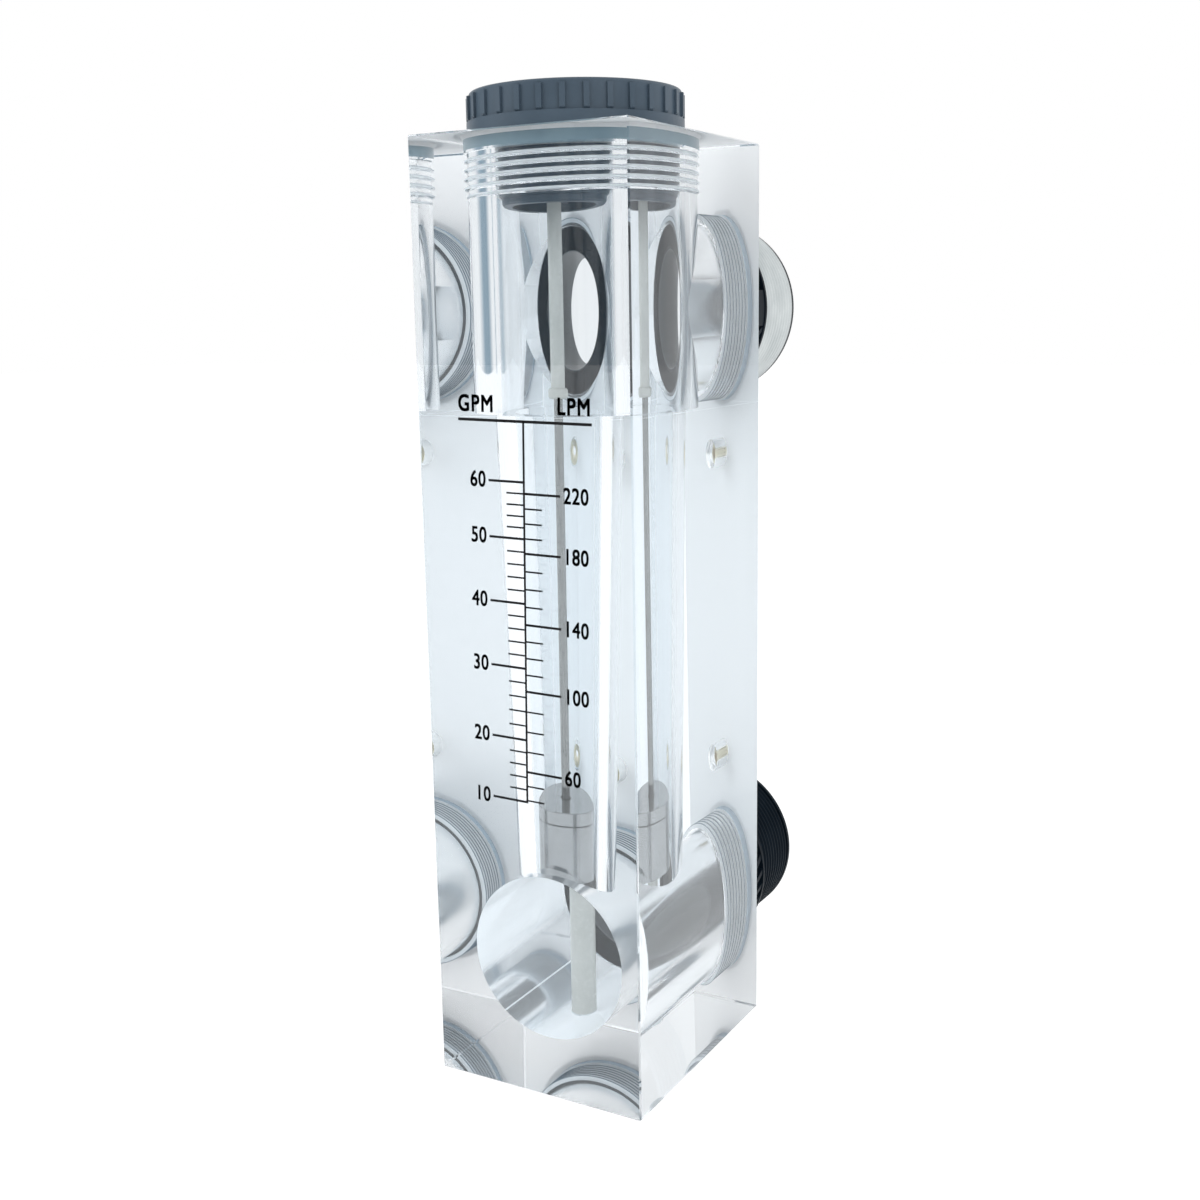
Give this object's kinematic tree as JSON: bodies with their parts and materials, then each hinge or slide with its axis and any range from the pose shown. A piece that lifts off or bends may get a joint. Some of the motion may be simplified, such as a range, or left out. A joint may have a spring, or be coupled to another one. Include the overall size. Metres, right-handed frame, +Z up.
{
  "type": "rotameter",
  "caption": "Upright flow meter: clear acrylic block with a tapered bore, steel float on a guide rod, screwed plug on top and threaded ports at the back.",
  "frame": {"origin": "centre of the block's base", "axes": "+Z up along the metering bore, +Y out of the back face towards the ports, +X to the right along the scale face"},
  "size_m": [0.075, 0.137, 0.3127],
  "materials": {
    "clear_acrylic": "polished clear acrylic",
    "slate_plastic": "moulded, fine satin",
    "black_plastic": "moulded, satin",
    "black_rubber": "smooth rubber",
    "grey_seal": "smooth soft seal",
    "white_tape": "thin stretched tape",
    "brass_insert": "turned",
    "brushed_steel": "turned and brushed",
    "pale_plastic": "smooth, slightly translucent",
    "scale_print": "screen-printed ink"
  },
  "bodies": {
    "housing": {"lower_block": "clear_acrylic", "upper_block": "clear_acrylic", "inlet_fitting": "black_plastic", "outlet_fitting": "black_plastic", "inlet_o_ring": "black_rubber", "outlet_o_ring": "black_rubber", "outlet_thread_tape": "white_tape", "lower_insert": "brass_insert", "upper_insert": "brass_insert"},
    "spindle": {"guide_rod": "brushed_steel", "upper_sleeve": "pale_plastic", "upper_bumper": "pale_plastic", "lower_sleeve": "pale_plastic"},
    "plug": {"plug": "slate_plastic", "plug_seal": "grey_seal"},
    "float": {"float": "brushed_steel"}
  },
  "joints": [
    {"name": "plug_lift", "type": "slide", "parent": "housing", "child": "spindle", "axis": [0, 0, 1], "range_m": [0, 0.01325]},
    {"name": "plug_turn", "type": "hinge", "parent": "spindle", "child": "plug", "pos_m": [0, -0.009, 0.3], "axis": [0, 0, 1], "range_deg": [0, 1800]},
    {"name": "float_slide", "type": "slide", "parent": "spindle", "child": "float", "axis": [0, 0, 1], "range_m": [0, 0.1296]}
  ],
  "couplings": [
    {"joint": "plug_lift", "follows": "plug_turn", "m_per_rad": 0.00042175}
  ]
}
